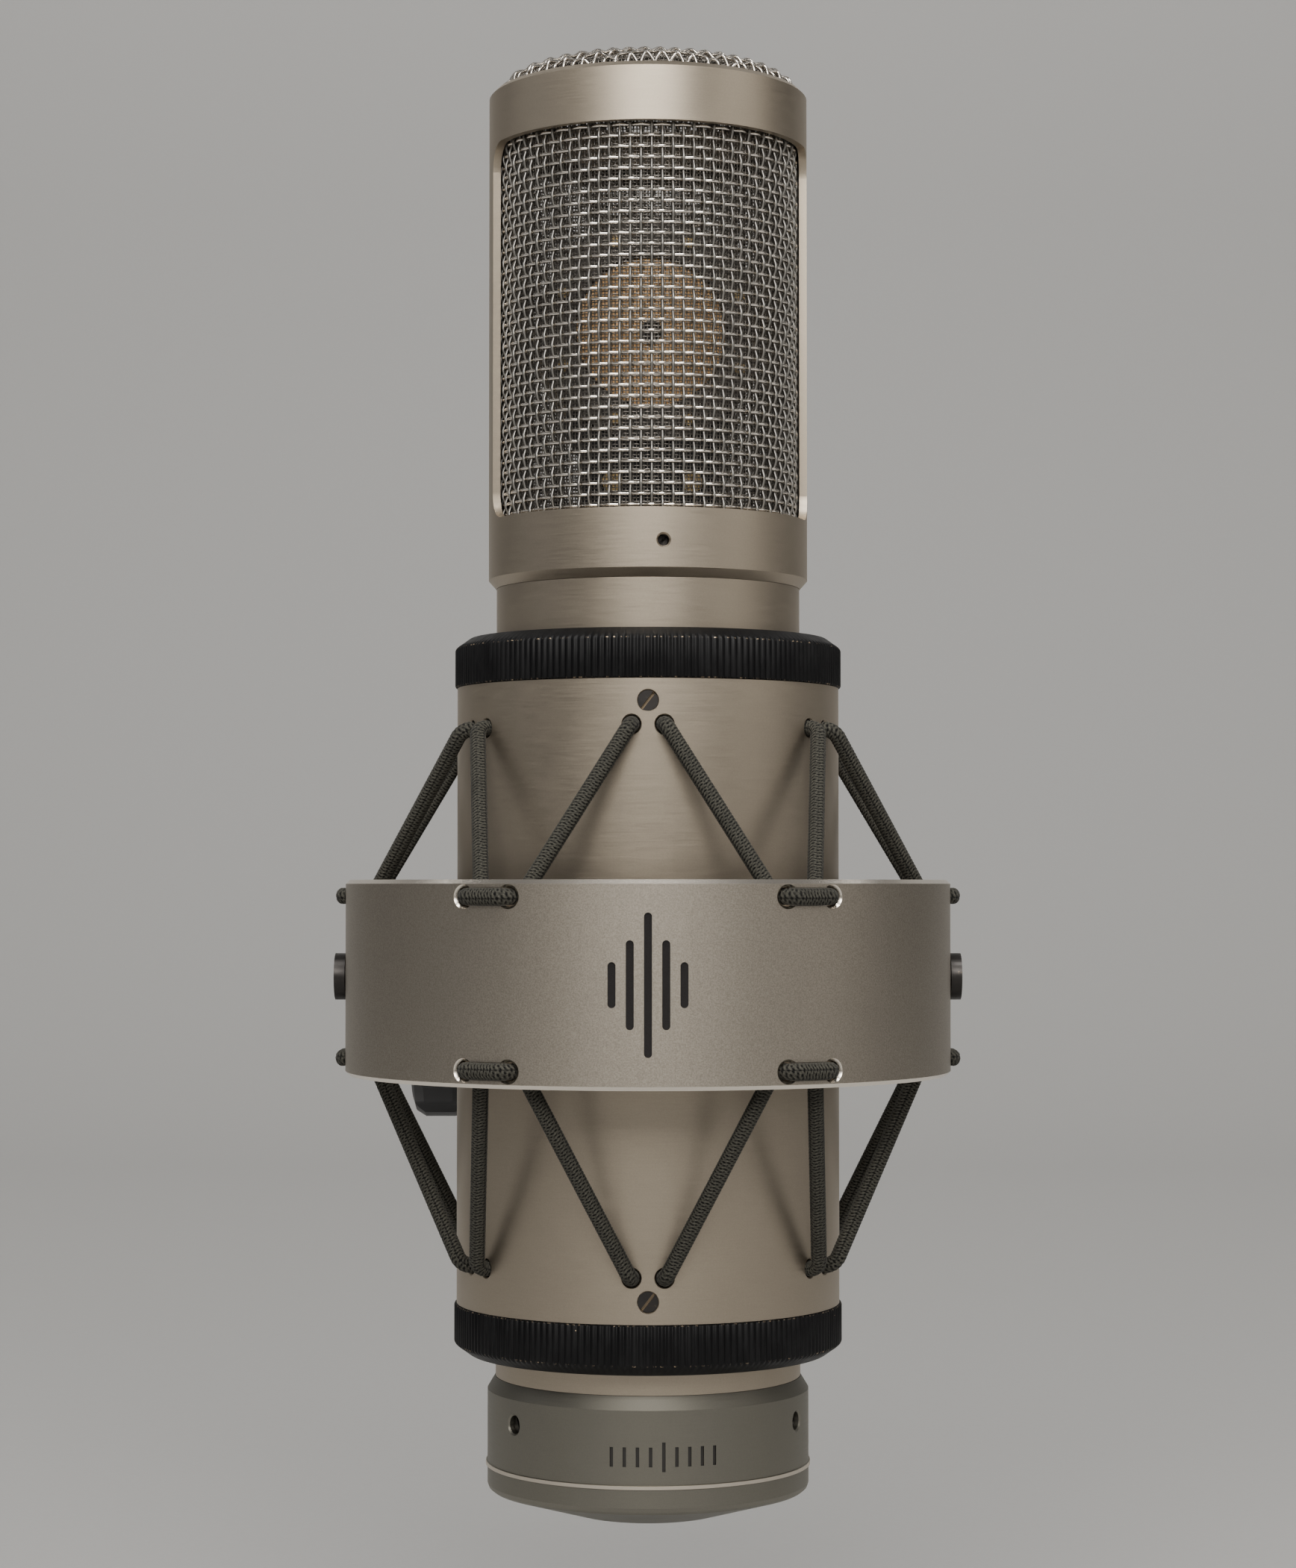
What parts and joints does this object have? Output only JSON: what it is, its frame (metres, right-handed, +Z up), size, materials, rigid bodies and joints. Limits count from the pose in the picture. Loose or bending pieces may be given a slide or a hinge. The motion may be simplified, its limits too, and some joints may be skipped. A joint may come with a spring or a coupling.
{
  "type": "condenser microphone",
  "caption": "Side-address condenser microphone with a mesh head and tube body, clamped by knurled collars in a cradle hung on elastic cord inside a flat ring with a stand swivel.",
  "frame": {"origin": "centre of the mouth of the stand thread, under the swivel behind the ring", "axes": "+Z up along the stand axis and parallel to the microphone, -Y towards the front of the microphone, +X to the right seen from the front"},
  "size_m": [0.0942, 0.1243, 0.2169],
  "materials": {
    "satin_nickel": "satin, fine turned lines",
    "blasted_nickel": "bead blasted, bright bevels",
    "wire_mesh": "bright drawn wire",
    "fine_wire": "fine drawn wire",
    "gold_film": "vapour-deposited gold film",
    "capsule_brass": "machined brass",
    "capsule_ring": "matt nickel plated",
    "black_plastic": "matt black moulding",
    "dark_oxide": "black oxide steel",
    "black_anodised": "black anodised, straight knurled",
    "black_paint": "black powder coat",
    "rubber": "soft black rubber",
    "elastic_cord": "braided textile sheath",
    "chassis": "plain milled",
    "board": "green solder mask",
    "tube_glass": "clear glass",
    "socket_ceramic": "unglazed ceramic",
    "core_steel": "laminated steel",
    "winding_tape": "yellow winding tape",
    "capacitor_film": "dipped red film"
  },
  "bodies": {
    "stand": {"stand_adapter": "black_paint", "thread_insert": "capsule_brass", "swivel_bolt": "dark_oxide", "swivel_washers": "black_plastic"},
    "knob_follower": {"knob_washer": "dark_oxide"},
    "knob": {"clamp_knob": "black_plastic", "knob_insert": "capsule_brass"},
    "ring": {"suspension_ring": "blasted_nickel", "ring_plug_screws": "dark_oxide", "swivel_lug": "black_paint", "lug_screw": "dark_oxide", "upper_elastic": "elastic_cord", "lower_elastic": "elastic_cord"},
    "cradle": {"cradle_sleeve": "satin_nickel", "upper_thread_bush": "black_anodised", "lower_thread_bush": "black_anodised", "upper_grip_rubber": "rubber", "lower_grip_rubber": "rubber", "sleeve_set_screws": "dark_oxide"},
    "upper_pressure": {"upper_pressure_ring": "black_plastic"},
    "upper_clamp": {"upper_collar": "black_anodised"},
    "lower_pressure": {"lower_pressure_ring": "black_plastic"},
    "lower_clamp": {"lower_collar": "black_anodised"},
    "microphone": {"head_shell": "satin_nickel", "body_tube": "satin_nickel", "base_cup": "satin_nickel", "mesh_retaining_ring": "satin_nickel", "connector_shell": "satin_nickel", "side_mesh": "wire_mesh", "dome_mesh": "wire_mesh", "fine_side_mesh": "fine_wire", "fine_dome_mesh": "fine_wire", "diaphragm_front": "gold_film", "diaphragm_rear": "gold_film", "capsule_plate_front": "capsule_brass", "capsule_plate_rear": "capsule_brass", "capsule_screws": "capsule_brass", "saddle_screws": "capsule_brass", "connector_pins": "capsule_brass", "diaphragm_ring_front": "capsule_ring", "diaphragm_ring_rear": "capsule_ring", "capsule_saddle": "black_plastic", "head_base": "black_plastic", "connector_insert": "black_plastic", "capsule_terminals": "dark_oxide", "head_screws": "dark_oxide", "base_screws": "dark_oxide", "saddle_isolator": "rubber", "tube_clip": "rubber", "transformer_pad": "rubber", "chassis_rails": "chassis", "bottom_plate": "chassis", "circuit_board": "board", "amplifier_tube": "tube_glass", "tube_socket": "socket_ceramic", "transformer_core": "core_steel", "transformer_coil": "winding_tape", "capacitors": "capacitor_film"}
  },
  "joints": [
    {"name": "mount_tilt", "type": "hinge", "parent": "stand", "child": "ring", "pos_m": [0, 0, 0.038], "axis": [1, 0, 0], "range_deg": [-90, 35]},
    {"name": "knob_travel", "type": "slide", "parent": "stand", "child": "knob_follower", "axis": [-1, 0, 0], "range_m": [0, 0.0025]},
    {"name": "knob_turn", "type": "hinge", "parent": "knob_follower", "child": "knob", "pos_m": [-0.02, 0, 0.038], "axis": [-1, 0, 0], "range_deg": [0, 730]},
    {"name": "suspension_bounce", "type": "slide", "parent": "ring", "child": "cradle", "axis": [0, 0, 1], "range_m": [-0.005, 0.005], "stiffness_N_per_m": 3300, "springref_m": 0.00265, "deforming": ["upper_elastic", "lower_elastic"]},
    {"name": "upper_pressure_lift", "type": "slide", "parent": "cradle", "child": "upper_pressure", "axis": [0, 0, 1], "range_m": [0, 0.00152]},
    {"name": "upper_collar_turn", "type": "hinge", "parent": "upper_pressure", "child": "upper_clamp", "pos_m": [0, -0.065, 0.095], "axis": [0, 0, 1], "range_deg": [0, 540]},
    {"name": "lower_pressure_lift", "type": "slide", "parent": "cradle", "child": "lower_pressure", "axis": [0, 0, -1], "range_m": [0, 0.00152]},
    {"name": "lower_collar_turn", "type": "hinge", "parent": "lower_pressure", "child": "lower_clamp", "pos_m": [0, -0.065, -0.003], "axis": [0, 0, -1], "range_deg": [0, 540]},
    {"name": "mic_aim", "type": "hinge", "parent": "cradle", "child": "microphone", "pos_m": [0, -0.065, 0.05], "axis": [0, 0, 1], "continuous": true}
  ],
  "couplings": [
    {"joint": "knob_turn", "follows": "knob_travel", "rad_per_m": 5026.5},
    {"joint": "upper_pressure_lift", "follows": "upper_collar_turn", "m_per_rad": 0.00015915},
    {"joint": "lower_pressure_lift", "follows": "lower_collar_turn", "m_per_rad": 0.00015915}
  ]
}
